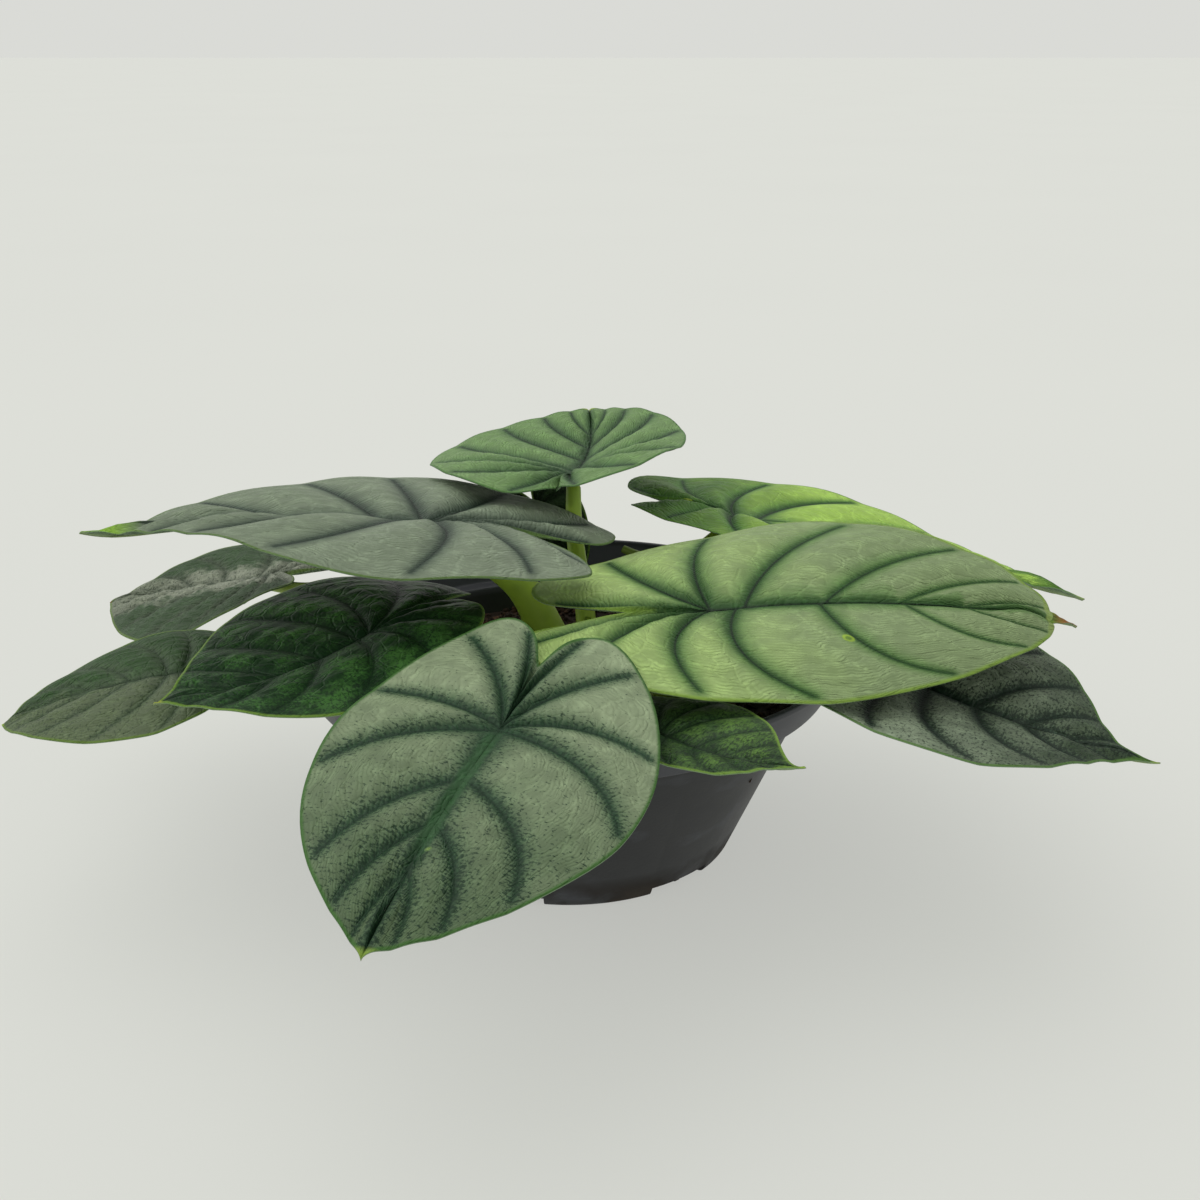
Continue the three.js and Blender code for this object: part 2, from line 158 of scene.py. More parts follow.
def addMesh(name, corners, faces, attributes=None):
    # Corners in millimetres; attributes are one number or one triple for each corner
    mesh = bpy.data.meshes.new(name)
    mesh.from_pydata((np.asarray(corners) * millimetre).tolist(), [], faces)
    for label, values in (attributes or {}).items():
        values = np.asarray(values, dtype=np.float32)
        kind, key = ("FLOAT", "value") if values.ndim == 1 else ("FLOAT_VECTOR", "vector")
        mesh.attributes.new(label, kind, "POINT").data.foreach_set(key, values.ravel())
    mesh.shade_smooth()
    mesh.update()
    piece = bpy.data.objects.new(name, mesh)
    bpy.context.scene.collection.objects.link(piece)
    return piece


def finishPiece(piece, material, node):
    piece.data.materials.clear()
    piece.data.materials.append(material)
    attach(piece, "root")
    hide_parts(node)


def turnedSurface(profile, sides):
    # Rings of a profile of (radius, height) pairs turned about Z; a radius of 0 makes one pole
    corners = []
    rings = []
    for radius, height in profile:
        count = 1 if radius == 0 else sides
        rings.append([len(corners) + step for step in range(count)])
        for step in range(count):
            angle = 2 * math.pi * step / sides
            corners.append((radius * math.cos(angle), radius * math.sin(angle), height))
    faces = []
    for lower, upper in zip(rings, rings[1:]):
        for step in range(sides):
            following = (step + 1) % sides
            loop = [lower[step % len(lower)], lower[following % len(lower)],
                    upper[following % len(upper)], upper[step % len(upper)]]
            faces.append(list(dict.fromkeys(loop)))
    return corners, faces


# Studio: the photograph's camera, a pale sweep of floor and soft light all round
studio = {
    "cameraPlace": (8.0, -374.6, 207.9),
    "cameraPitch": 20.65,
    "lens": 45,
    "sensorWidth": 36,
    "sightMetres": 100,
    "floorSize": 30000,
    "floorColours": ("#969793", "#92938f"),
    "floorGlow": 0.46,
    "airColour": "#fcfdf8",
    "wallLight": 0.72,
    "fillLight": 0.58,
    "keyLight": 0.85,
    "keyDirection": (-0.45, 0.1, 0.85),
    "keyCone": (0.45, 0.95),
}


def buildStudio():
    scene = bpy.context.scene
    scene.view_settings.view_transform = "Standard"
    camera = bpy.data.objects.new("camera", bpy.data.cameras.new("camera"))
    camera.data.lens = studio["lens"]
    camera.data.sensor_width = studio["sensorWidth"]
    camera.data.clip_end = studio["sightMetres"]
    camera.location = Vector(studio["cameraPlace"]) * millimetre
    camera.rotation_euler = (math.radians(90 - studio["cameraPitch"]), 0, 0)
    scene.collection.objects.link(camera)
    scene.camera = camera

    half = studio["floorSize"] / 2
    corners = [(-half, -half, 0), (half, -half, 0), (half, half, 0), (-half, half, 0)]
    floor = addMesh("floor", corners, [(0, 1, 2, 3)])
    # Frosted acrylic of a light table: an even pale grey, matt, lit faintly from below so that
    # shadows are weak
    material, tree, surface = newMaterial(
        "frosted acrylic, lit from below", Roughness=0.95, Specular_IOR_Level=0.0,
        Emission_Color=toLinear(studio["airColour"]), Emission_Strength=studio["floorGlow"])
    cloud = addNoise(tree, objectPlace(tree), 3.0, 2.0)
    feed(tree, mixColour(tree, cloud, *studio["floorColours"]), surface, "Base Color")
    floor.data.materials.append(material)

    # Soft light from a wide bright ceiling, strongest from the upper left, and pale walls all round
    world = bpy.data.worlds.new("studio air")
    world.use_nodes = True
    tree = world.node_tree
    air = tree.nodes["Background"]
    air.inputs["Color"].default_value = toLinear(studio["airColour"])
    direction = addNode(tree, "ShaderNodeTexCoord").outputs["Generated"]
    height = splitVector(tree, direction)["Z"]
    wall = mapRange(tree, height, 0.02, 0.3, studio["wallLight"], studio["fillLight"], "SMOOTHSTEP")
    towardsKey = addNode(tree, "ShaderNodeVectorMath", {
        0: direction, 1: Vector(studio["keyDirection"]).normalized()}, operation="DOT_PRODUCT")
    key = mapRange(tree, towardsKey.outputs["Value"], *studio["keyCone"], 0.0, studio["keyLight"],
                   "SMOOTHERSTEP")
    feed(tree, calculate(tree, "ADD", wall, key), air, "Strength")
    scene.world = world
    print("studio ready")


# Nursery pot
pot = {
    "height": 59.2,
    "rimRadius": 75,
    "collarHeight": 11.6,
    "collarFootRadius": 69.3,
    "bodyTopRadius": 64.9,
    "baseRadius": 44.5,
    "lipHeight": 1.4,
    "wall": 1.5,
    "floorThickness": 2,
    "insideFloorRadius": 43.9,
    "sides": 192,
    "cornerRounding": (1.4, 0.5, 0.7, 0.5, 0.5, 0.6, 0.6, 0.5, 0.8, 0.8, 1.5),
    "sharpAngle": 35,
    "notchCount": 6,
    "notchAngle": 24,
    "notchHeight": 2.8,
    "notchDepth": 6,
    "notchSteps": 9,
    "firstNotch": -50,
}


def roundedProfile(points, radii, steps=4):
    # Each inner corner of an open profile turned into a short curve
    profile = [points[0]]
    for before, here, after, radius in zip(points, points[1:], points[2:], radii):
        before, here, after = Vector(before), Vector(here), Vector(after)
        first = here + (before - here).normalized() * min(radius, (before - here).length / 2.1)
        last = here + (after - here).normalized() * min(radius, (after - here).length / 2.1)
        for step in range(steps + 1):
            share = step / steps
            profile.append(tuple(first.lerp(here, share).lerp(here.lerp(last, share), share)))
    profile.append(points[-1])
    return profile


def potMaterial():
    # Injection moulded polypropylene, recycled black: a satin skin that shows pale scuffs, fine
    # moulding grain and splashes of dried potting mix near the base
    material, tree, surface = newMaterial("recycled polypropylene, moulded", IOR=1.49)
    place = objectPlace(tree)
    height = splitVector(tree, place)["Z"]
    cloud = addNoise(tree, place, 45.0, 5.0, 0.62)
    streaks = addNode(tree, "ShaderNodeMapping", {"Vector": place, "Scale": (70.0, 70.0, 130.0)})
    rubs = addNoise(tree, streaks, 1.0, 4.0)
    base = mixColour(tree, cloud, "#07080a", "#16191d")
    rubbed = mixColour(tree, mapRange(tree, rubs, 0.56, 0.78), base, "#30333a")
    # Painted light: the collar is painted paler from just under its foot upwards, where its flare faces the
    # light
    collarFoot = pot["height"] - pot["collarHeight"]
    onCollar = mapRange(tree, height, (collarFoot - 0.6) * millimetre, (collarFoot + 0.4) * millimetre,
                        0.0, 0.8)
    collarPaintedLight = mixColour(tree, onCollar, rubbed, "#36383f")
    # Splashes reach 10 mm up
    low = mapRange(tree, height, 10 * millimetre, 0.0)
    splashes = mapRange(tree, addNoise(tree, place, 60.0, 6.0), 0.46, 0.64)
    dirt = calculate(tree, "MULTIPLY", low, splashes)
    feed(tree, mixColour(tree, dirt, collarPaintedLight, "#352d24"), surface, "Base Color")
    satin = mapRange(tree, cloud, 0.0, 1.0, 0.42, 0.62)
    feed(tree, calculate(tree, "ADD", satin, dirt, use_clamp=True), surface, "Roughness")
    grain = addBump(tree, addNoise(tree, place, 1400.0, 3.0), 0.25, 0.00012)
    feed(tree, addBump(tree, rubs, 0.3, 0.0002, Normal=grain), surface, "Normal")
    return material


def notchCutter(turn):
    # A wedge of a ring under the base's corner, at an angle about Z
    half = math.radians(pot["notchAngle"] / 2)
    arc = np.linspace(-half, half, pot["notchSteps"])
    inside, outside = pot["baseRadius"] - pot["notchDepth"], pot["baseRadius"] + pot["notchDepth"]
    corners = []
    for height in (-1, pot["notchHeight"]):
        for reach, angles in ((outside, turn + arc), (inside, turn + arc[::-1])):
            corners += [(reach * math.cos(angle), reach * math.sin(angle), height) for angle in angles]
    count = len(corners) // 2
    faces = [list(range(count))[::-1], list(range(count, 2 * count))]
    for side in range(count):
        following = (side + 1) % count
        faces.append((side, following, count + following, count + side))
    return addMesh("notch_cutter", corners, faces)


def buildPot():
    rim, body, base = pot["rimRadius"], pot["bodyTopRadius"], pot["baseRadius"]
    foot, wall, thick = pot["collarFootRadius"], pot["wall"], pot["floorThickness"]
    top, lip = pot["height"], pot["lipHeight"]
    collarFoot = top - pot["collarHeight"]
    points = [
        (0, 0), (base, 0), (body, collarFoot), (foot, collarFoot), (rim - 0.5, top - lip - 0.8),
        (rim, top - lip), (rim, top), (rim - wall, top), (rim - wall - 0.2, top - lip),
        (foot - wall, collarFoot + wall), (body - wall, collarFoot + wall),
        (pot["insideFloorRadius"], thick), (0, thick),
    ]
    profile = roundedProfile(points, pot["cornerRounding"])
    piece = addMesh("nursery_pot", *turnedSurface(profile, pot["sides"]))
    cutters = []
    for notch in range(pot["notchCount"]):
        cutter = notchCutter(math.radians(pot["firstNotch"] + 360 * notch / pot["notchCount"]))
        cutters.append(cutter)
        cut = piece.modifiers.new("drain notch", "BOOLEAN")
        cut.object = cutter
        cut.solver = "EXACT"
    bakeModifiers(piece)
    for cutter in cutters:
        bpy.data.objects.remove(cutter)
    piece.data.shade_smooth()
    piece.data.set_sharp_from_angle(angle=math.radians(pot["sharpAngle"]))
    finishPiece(piece, potMaterial(), "pot")
    print("pot ready")


# Potting mix
soil = {
    "level": 42,
    "mound": 2,
    "lumpHeight": 0.7,
    "edgeGap": 0.35,
    "sides": 160,
    "rings": 56,
    "crumbsPerSquareMetre": 190000.0,
    "chipsPerSquareMetre": 14000.0,
    "crumbSize": 1.1,
    "chipSize": 3.4,
    "seed": 7,
}


def insideRadius(height):
    collarFoot = pot["height"] - pot["collarHeight"]
    share = (height - pot["floorThickness"]) / (collarFoot + pot["wall"] - pot["floorThickness"])
    lower, upper = pot["insideFloorRadius"], pot["bodyTopRadius"] - pot["wall"]
    return lower + share * (upper - lower)


def crumbTree():
    # Scatters crumbs and bark chips on the upper side of the surface it is given
    tree, given = newTree("crumbs", {
        "Crumb density": "Float", "Chip density": "Float", "Crumb size": "Float", "Chip size": "Float",
        "Seed": "Int"})
    crumb = addNode(tree, "GeometryNodeMeshIcoSphere", {"Radius": given["Crumb size"], "Subdivisions": 1})
    chipSize = addNode(tree, "ShaderNodeCombineXYZ", {
        "X": given["Chip size"], "Y": given["Crumb size"], "Z": given["Crumb size"]})
    chip = addNode(tree, "GeometryNodeMeshCube", {"Size": chipSize})
    parts = [given["Geometry"]]
    kinds = [(given["Crumb density"], crumb, (0.35, 0.35, 0.3), (1.5, 1.3, 1.1)),
             (given["Chip density"], chip, (0.6, 0.7, 0.5), (1.5, 1.9, 1.1))]
    facing = splitVector(tree, addNode(tree, "GeometryNodeInputNormal"))["Z"]
    onTop = addNode(tree, "FunctionNodeCompare", {"A": facing, "B": 0.3}, operation="GREATER_THAN")
    for place, (density, shape, smallest, largest) in enumerate(kinds):
        seed = calculate(tree, "ADD", given["Seed"], float(place))
        points = addNode(tree, "GeometryNodeDistributePointsOnFaces", {
            "Mesh": given["Geometry"], "Density": density, "Seed": seed, "Selection": onTop})
        turn = addNode(tree, "FunctionNodeRandomValue", {
            "Max": (math.tau, math.tau, math.tau), "Seed": seed}, data_type="FLOAT_VECTOR")
        scale = addNode(tree, "FunctionNodeRandomValue", {
            "Min": smallest, "Max": largest, "Seed": seed}, data_type="FLOAT_VECTOR")
        placed = addNode(tree, "GeometryNodeInstanceOnPoints", {
            "Points": points, "Instance": shape, "Rotation": turn, "Scale": scale})
        parts.append(placed.outputs["Instances"])
    joined = addNode(tree, "GeometryNodeJoinGeometry")
    for part in parts:
        tree.links.new(part, joined.inputs["Geometry"])
    return endTree(tree, given, joined)


def soilMaterial():
    # Damp peat with composted bark: dark brown crumbs, matt where dry and faintly wet in between
    material, tree, surface = newMaterial("damp peat and bark", Specular_IOR_Level=0.25)
    place = objectPlace(tree)
    patch = addNoise(tree, place, 220.0, 5.0)
    dark = mixColour(tree, patch, "#15100c", "#3a2a1e")
    crumb = addNode(tree, "ShaderNodeTexVoronoi", {"Vector": place, "Scale": 520.0})
    bark = mapRange(tree, crumb.outputs["Color"], 0.62, 0.95)
    feed(tree, mixColour(tree, bark, dark, "#5d4029"), surface, "Base Color")
    feed(tree, mapRange(tree, patch, 0.0, 1.0, 0.7, 0.98), surface, "Roughness")
    feed(tree, addBump(tree, patch, 0.8, 0.0006), surface, "Normal")
    return material


def buildSoil():
    level, gap = soil["level"], soil["edgeGap"]
    bottom = pot["floorThickness"] + gap
    edge = insideRadius(level) - gap
    shares = np.linspace(1, 0, soil["rings"])
    profile = [(0, bottom), (insideRadius(bottom) - gap, bottom)]
    profile += [(edge * share, level) for share in shares]
    corners, faces = turnedSurface(profile, soil["sides"])
    corners = np.array(corners)
    x, y = corners[:, 0], corners[:, 1]
    inside = 1 - np.hypot(x, y) / edge
    onTop = (corners[:, 2] > level - 1) & (inside > 0.005)
    lumps = np.sin(0.31 * x + 1.3) * np.cos(0.27 * y) + 0.5 * np.sin(0.9 * x - 0.7 * y)
    fine = 0.5 * np.sin(1.9 * x + 0.8 * y) * np.cos(1.7 * y - 0.5 * x)
    lumpHeight = soil["lumpHeight"]
    rise = soil["mound"] * np.maximum(inside, 0) ** 0.5
    rise += lumpHeight * (lumps + fine) * np.minimum(1, 4 * inside) - lumpHeight
    corners[:, 2] += np.where(onTop, rise, 0)
    piece = addMesh("potting_mix", corners, faces)
    material = soilMaterial()
    applyTree(piece, crumbTree(), {
        "Crumb density": soil["crumbsPerSquareMetre"], "Chip density": soil["chipsPerSquareMetre"],
        "Crumb size": soil["crumbSize"] * millimetre, "Chip size": soil["chipSize"] * millimetre,
        "Seed": soil["seed"], "Material": material})
    finishPiece(piece, material, "soil")
    print("potting mix ready,", len(piece.data.polygons), "faces")


# Leaves. One entry a leaf. The place is where the leaf stalk meets the blade. Heading, pitch, roll and
# the bends are degrees, and pairs are the leaf's own left and right side. widest, lobeSpread, sinus,
# point and fullness shape the outline as shares of its length or width. A leaf gives what differs from
# plainLeaf, plainVeins and plainLook.
plainLeaf = {
    "twist": 0, "curl": 0, "sweep": 0, "widest": 0.12, "lobeSpread": 0.42, "sinus": 0.3, "fullness": 1,
    "puffed": 1, "crumpled": 0, "veins": {},
}
# Places are where the side veins meet the edge, from the tip to the notch, and strengths their widths.
# Basal is the place of the first vein that starts at the leaf stalk, bow says how far veins bend, and
# heart is the midrib place where they gather.
plainVeins = {
    "places": ((0, 0.11, 0.19, 0.29, 0.41, 0.53, 0.66, 0.82, 1),) * 2, "basal": (0.47, 0.47),
    "bow": (0.27, 0.27), "heart": 0, "strengths": (0, 0.3, 0.7, 0.9, 1, 1, 0.9, 0.75),
}
# The tints of a look are the panels at the base and towards the tip, which fade into each other, then the
# shade, the deep shade and the core of the veins, as wide as halo and as strong as veined. A mark has a
# place, a size and two colours.
plainLook = {
    "fade": (-0.2, 0.9), "halo": 3.0, "veined": 1.0, "mottle": 0.0, "speckle": 0.0, "cover": 0.0,
    "ridge": 0.75, "gloss": 0.5, "shine": 0.3, "band": None, "margin": "#6f9136", "rim": 0.6,
    "tip": "#9fbc3a", "tipStart": 0.96, "midrib": None, "marks": (),
}
leaves = {
    "top": {
        "place": (0.5, 22, 95), "heading": 79, "pitch": -6, "roll": -8, "length": 69,
        "halfWidth": (42, 31), "lobe": (28, 24), "lobeSpread": 0.32, "sinus": 0.7, "point": 0.15,
        "fullness": 1.04, "arch": -15, "lobeBend": 21, "curl": 3, "sweep": 15, "fold": 19,
        "droop": (20, 22), "slot": "leaf_mid",
        "look": {
            "tints": ("#6f8f58", "#6f9156", "#4a6c3e", "#2a482a", "#172f1b"), "halo": 5.4,
            "margin": "#4f7a3a",
        },
    },
    "silver_left": {
        "place": (-35.5, -18, 93.8), "heading": 183, "pitch": 6, "roll": 9, "twist": 1, "length": 83,
        "halfWidth": (49, 43), "lobe": (43, 47), "widest": 0.1, "lobeSpread": 0.44, "point": 0.75,
        "fullness": 0.8, "arch": 12, "lobeBend": 26, "curl": -26, "sweep": 14, "fold": 10,
        "droop": (33, 6), "slot": "leaf_silver",
        "veins": {
            "places": ((0, 0.08, 0.14, 0.22, 0.34, 0.52, 0.66, 0.82, 1),
                       (0, 0.12, 0.226, 0.382, 0.488, 0.6, 0.72, 0.85, 1)),
            "basal": (0.4, 0.5), "bow": (0.33, 0.02),
        },
        "look": {
            "tints": ("#828f79", "#76846d", "#526150", "#2c3d31", "#18271c"), "halo": 5.4, "ridge": 0.8,
            "margin": "#5c7a3a", "rim": 0.5, "tip": "#8fbf34", "tipStart": 0.82,
        },
    },
    "green_right": {
        "place": (34, -46, 81.2), "heading": 5, "pitch": 5, "roll": 7, "twist": 14, "length": 82,
        "halfWidth": (44, 37), "lobe": (41, 48), "lobeSpread": 0.44, "point": -0.3, "fullness": 0.96,
        "arch": 16, "lobeBend": -9, "curl": 10, "sweep": -2, "fold": 8, "droop": (23, 27),
        "slot": "leaf_bright",
        "veins": {
            "places": ((0, 0.07, 0.148, 0.245, 0.37, 0.512, 0.63, 0.85, 1),
                       (0, 0.08, 0.169, 0.298, 0.454, 0.557, 0.67, 0.79, 1)),
            "basal": (0.45, 0.53), "bow": (0.18, 0.52), "strengths": (0, 0.1, 0.24, 0.6, 1, 1, 0.9, 0.75),
        },
        "look": {
            "tints": ("#a9c574", "#879b6e", "#5c8044", "#244a1e", "#0c2610"), "fade": (-0.35, 0.5),
            "halo": 5.6, "margin": "#7f9f3e", "rim": 1.0, "tip": "#93a860", "tipStart": 0.985,
            "marks": [((29.2, -16.4), 1.7, "#9fbf3a", "#5d8030")],
        },
    },
    "back_right": {
        "place": (46, 30, 80.4), "heading": -13, "pitch": -5, "roll": -11, "twist": -1, "length": 99,
        "halfWidth": (44, 25), "lobe": (35, 28), "widest": 0.14, "lobeSpread": 0.4, "sinus": 0.28,
        "point": 0.8, "fullness": 0.84, "arch": 12, "lobeBend": -8, "curl": -7, "sweep": 5, "fold": 4,
        "droop": (-10, 23), "slot": "leaf_mid",
        "look": {
            "tints": ("#4a7034", "#a8ce5e", "#54823a", "#234a1e", "#14301a"), "fade": (-0.1, 0.25),
            "halo": 5.0, "margin": "#5e8a34", "tip": "#a3c052",
            "marks": [((-14.0, 2.5), 1.6, "#a9c23f", "#c9d860")],
        },
    },
    "silver_front": {
        "place": (-13.5, -102, 75.4), "heading": 252, "pitch": -4, "roll": -8, "twist": 3, "length": 64,
        "halfWidth": (35, 30), "lobe": (39, 38), "widest": 0.13, "lobeSpread": 0.3, "sinus": 0.7,
        "point": 0.25, "fullness": 1.12, "arch": 14, "lobeBend": -34, "curl": -7, "sweep": 2, "fold": 2,
        "droop": (8, 4), "slot": "leaf_silver",
        "veins": {
            "places": ((0, 0.09, 0.17, 0.266, 0.434, 0.565, 0.7, 0.836, 1),
                       (0, 0.09, 0.173, 0.267, 0.429, 0.556, 0.7, 0.84, 1)),
            "basal": (0.45, 0.45), "bow": (0.35, 0.2), "heart": -4,
        },
        "look": {
            "tints": ("#8f9e7d", "#566a4b", "#50684a", "#214229", "#16321e"), "halo": 4.8, "speckle": 0.9,
            "cover": 0.06, "ridge": 0.5, "margin": "#3f6a2c", "rim": 0.7, "tip": "#8aa544",
            "midrib": (1.5, "#2f5530", 0.5), "marks": [((37.3, 1.7), 0.8, "#647f4a", "#7f9a52")],
        },
    },
    "dark_left": {
        "place": (-46.5, -46, 75.6), "heading": 222, "pitch": -15, "roll": 6, "twist": -4, "length": 53,
        "halfWidth": (29, 39), "lobe": (24, 44), "widest": 0.11, "lobeSpread": 0.34, "sinus": 0.7,
        "point": 0.5, "fullness": 1.08, "arch": -20, "lobeBend": 47, "curl": -3, "sweep": -15, "fold": 6,
        "droop": (26, 1), "puffed": 0.7, "slot": "leaf_dark",
        "look": {
            "tints": ("#4a7838", "#3a6130", "#2b5026", "#18341a", "#142a18"), "halo": 5.5, "veined": 0.6,
            "mottle": 0.9, "speckle": 0.75, "cover": 0.12, "ridge": 0.2, "gloss": 0.42, "shine": 0.2,
            "margin": "#6d8f34", "tip": "#b3b83c",
        },
    },
    "far_left_upper": {
        "place": (-85.5, 20, 65.8), "heading": 158, "pitch": -13, "roll": 2, "twist": -12, "length": 56,
        "halfWidth": (36, 30), "lobe": (17, 25), "point": 0.2, "fullness": 0.96, "arch": 5,
        "lobeBend": 15, "curl": -4, "sweep": 4, "fold": 6, "droop": (26, -1), "puffed": 0.8,
        "crumpled": 0.45, "slot": "leaf_dark",
        "look": {
            "tints": ("#979c8c", "#7d8472", "#555e4c", "#3b4636", "#2d3d2a"), "veined": 0.45,
            "speckle": 0.7, "cover": 0.08, "ridge": 0.7, "band": (-8, 12), "bandOutside": "#26451f",
            "margin": "#5f7a34", "tip": "#8a6a34", "tipStart": 0.985,
        },
    },
    "far_left_lower": {
        "place": (-93.5, -42, 63.8), "heading": 188, "pitch": -6, "roll": -4, "twist": 1, "length": 46,
        "halfWidth": (27, 22), "lobe": (12, 16), "widest": 0.11, "point": 0.1, "fullness": 1.04,
        "arch": 21, "lobeBend": 9, "curl": 1, "sweep": -10, "fold": 7, "droop": (21, 9), "puffed": 0.6,
        "crumpled": 0.22, "slot": "leaf_dark",
        "look": {
            "tints": ("#5f6c50", "#566645", "#54644a", "#2e4628", "#263a22"), "veined": 0.5,
            "speckle": 0.7, "cover": 0.08, "ridge": 0.6, "band": (1, 30), "bandOutside": "#274a1e",
            "margin": "#63802f",
        },
    },
    "small_front": {
        "place": (21, -82, 67), "heading": -51, "pitch": 1, "roll": 3, "twist": 11, "length": 41,
        "halfWidth": (18, 11), "lobe": (16, 12), "widest": 0.11, "point": 0.8, "fullness": 0.9,
        "arch": -16, "lobeBend": 9, "curl": -17, "sweep": 7, "fold": 11, "droop": (16, 15), "puffed": 0.6,
        "slot": "leaf_dark",
        "look": {
            "tints": ("#4c6a34", "#567a30", "#30502a", "#1d3a1e", "#152b16"), "veined": 0.5,
            "mottle": 0.7, "speckle": 0.8, "cover": 0.12, "ridge": 0.4, "tip": "#8fb03a",
        },
    },
    "dark_right": {
        "place": (82.5, -50, 64.6), "heading": -34, "pitch": -11, "roll": 8, "twist": -6, "length": 57,
        "halfWidth": (33, 36), "lobe": (18, 25), "widest": 0.16, "lobeSpread": 0.46, "point": 1.1,
        "fullness": 1.16, "arch": -4, "lobeBend": 11, "curl": -14, "sweep": 13, "fold": 10,
        "droop": (10, -6), "slot": "leaf_dark",
        "look": {
            "tints": ("#a6b59a", "#35462f", "#4a5d46", "#20362a", "#152619"), "halo": 3.6, "mottle": 0.2,
            "speckle": 0.85, "cover": 0.1, "ridge": 0.6, "margin": "#557a38",
        },
    },
    "young_back": {
        "place": (-10, 37, 81), "heading": -8, "pitch": -60, "roll": 68, "length": 27,
        "halfWidth": (12, 13), "lobe": (9, 9), "lobeSpread": 0.45, "point": 0.4, "arch": 6, "lobeBend": 6,
        "fold": 5, "droop": (10, 10), "slot": "leaf_dark",
        "look": {
            "tints": ("#2c4424", "#2c4424", "#1f331b", "#172814", "#172814"), "halo": 2.0,
        },
    },
    "small_right": {
        "place": (95, -14, 73), "heading": -6, "pitch": -8, "roll": 4, "length": 36, "halfWidth": (9, 9),
        "lobe": (8, 8), "lobeSpread": 0.45, "point": 0.6, "arch": 6, "lobeBend": 6, "fold": 8,
        "droop": (10, 10), "slot": "leaf_mid",
        "look": {
            "tints": ("#6c8f3c", "#6c8f3c", "#5a7c34", "#47682c", "#38582a"), "halo": 2.0,
            "tip": "#a3683a", "tipStart": 0.8,
        },
    },
}
leaves = {name: {**plainLeaf, **leaf} for name, leaf in leaves.items()}
blade = {
    "thickness": 0.8,
    "edgeThickness": 0.34,
    "thinBand": 2.5,
    "rootReach": 0.92,
    "rootFall": 1.3,
    "lobeBow": 0.27,
    "shoulder": 0.5,
    "lobeTip": 0.8,
    "rings": 56,
    "ringCrowding": 0.92,
    "bendSteps": 12,
    "panelShares": (0, 0.035, 0.08, 0.14, 0.22, 0.32, 0.44, 0.56, 0.68, 0.78, 0.86, 0.92, 0.965),
    "quiltShare": 0.026,
    "grooveDepth": 0.5,
    "midribDepth": 0.9,
    "sideVeinHalfWidth": 0.5,
    "midribHalfWidth": 0.75,
    "puckerHeight": 0.11,
    "puckerStep": 5.2,
    "waveHeight": 0.35,
    "waveTurns": 21,
    "underColours": ("#7d9475", "#a9bb7d"),
}


def leafVeins(leaf):
    return {**plainVeins, **leaf["veins"]}


def cubicPoint(share, *controls):
    share = np.clip(share, 0, 1)[..., None]
    rest = 1 - share
    start, first, second, end = np.array(controls, float)
    return rest**3 * start + 3 * rest**2 * share * first + 3 * rest * share**2 * second + share**3 * end


def marginPoint(leaf, side, place):
    # The flat outline of one side: place 0 is the tip and place 1 the notch between the lobes
    length, halfWidth, lobe = leaf["length"], leaf["halfWidth"][side], leaf["lobe"][side]
    point, fullness = leaf["point"], leaf["fullness"]
    shoulder, lobeTip = blade["shoulder"], blade["lobeTip"]
    wideAt = leaf["widest"] * length
    spread = leaf["lobeSpread"] * halfWidth
    notch = leaf["sinus"] * sum(leaf["lobe"]) / 2
    front = cubicPoint(
        place / shoulder, (length, 0), (length * (1 - 0.3 * point), length * (0.05 - 0.04 * point)),
        (wideAt + 0.62 * (length - wideAt) * fullness, halfWidth), (wideAt, halfWidth))
    flank = cubicPoint(
        (place - shoulder) / (lobeTip - shoulder), (wideAt, halfWidth),
        (wideAt - 0.5 * (wideAt + lobe), halfWidth), (-lobe, spread + 0.42 * (halfWidth - spread)),
        (-lobe, spread))
    inner = cubicPoint(
        (place - lobeTip) / (1 - lobeTip), (-lobe, spread), (-lobe, 0.35 * spread),
        (-notch - 0.35 * (lobe - notch), 0.06 * halfWidth), (-notch, 0))
    place = place[..., None]
    return np.where(place < shoulder, front, np.where(place < lobeTip, flank, inner))


def planPoint(leaf, side, place, reach):
    # Every place on the blade lies on a side vein that leaves the midrib and bows to the edge
    veins = leafVeins(leaf)
    edge = marginPoint(leaf, side, place)
    rootShare = blade["rootReach"] * np.maximum(1 - place / veins["basal"][side], 0) ** blade["rootFall"]
    rootAlong = veins["heart"] + rootShare * (leaf["length"] - veins["heart"])
    root = np.stack([rootAlong, np.zeros_like(rootAlong)], -1)
    chord = edge - root
    towardsLobe = np.clip((place - 0.5) / 0.25, 0, 1)
    bow = veins["bow"][side] + (blade["lobeBow"] - veins["bow"][side]) * towardsLobe
    bow = (bow * np.sin(math.pi * place**0.8))[..., None]
    middle = root + 0.5 * chord + bow * np.stack([-chord[..., 1], chord[..., 0]], -1)
    reach = reach[..., None]
    return (1 - reach) ** 2 * root + 2 * reach * (1 - reach) * middle + reach**2 * edge


def midribFrame(leaf, along):
    # Forward, left and up directions of the blade at a distance along its midrib
    share = along / leaf["length"]
    curl = leaf["curl"] * np.clip((share - 0.8) / 0.2, 0, 2) ** 2
    bend = np.where(share > 0, leaf["arch"] * share + curl, leaf["lobeBend"] * share)
    heading = np.radians(leaf["heading"] + leaf["sweep"] * share)
    pitch = np.radians(leaf["pitch"] - bend)
    roll = np.radians(leaf["roll"] + leaf["twist"] * share)[..., None]
    forward = np.stack(
        [np.cos(pitch) * np.cos(heading), np.cos(pitch) * np.sin(heading), np.sin(pitch)], -1)
    flatLeft = np.stack([-np.sin(heading), np.cos(heading), np.zeros_like(heading)], -1)
    flatUp = np.cross(forward, flatLeft)
    left = flatLeft * np.cos(roll) + flatUp * np.sin(roll)
    up = flatUp * np.cos(roll) - flatLeft * np.sin(roll)
    return forward, left, up


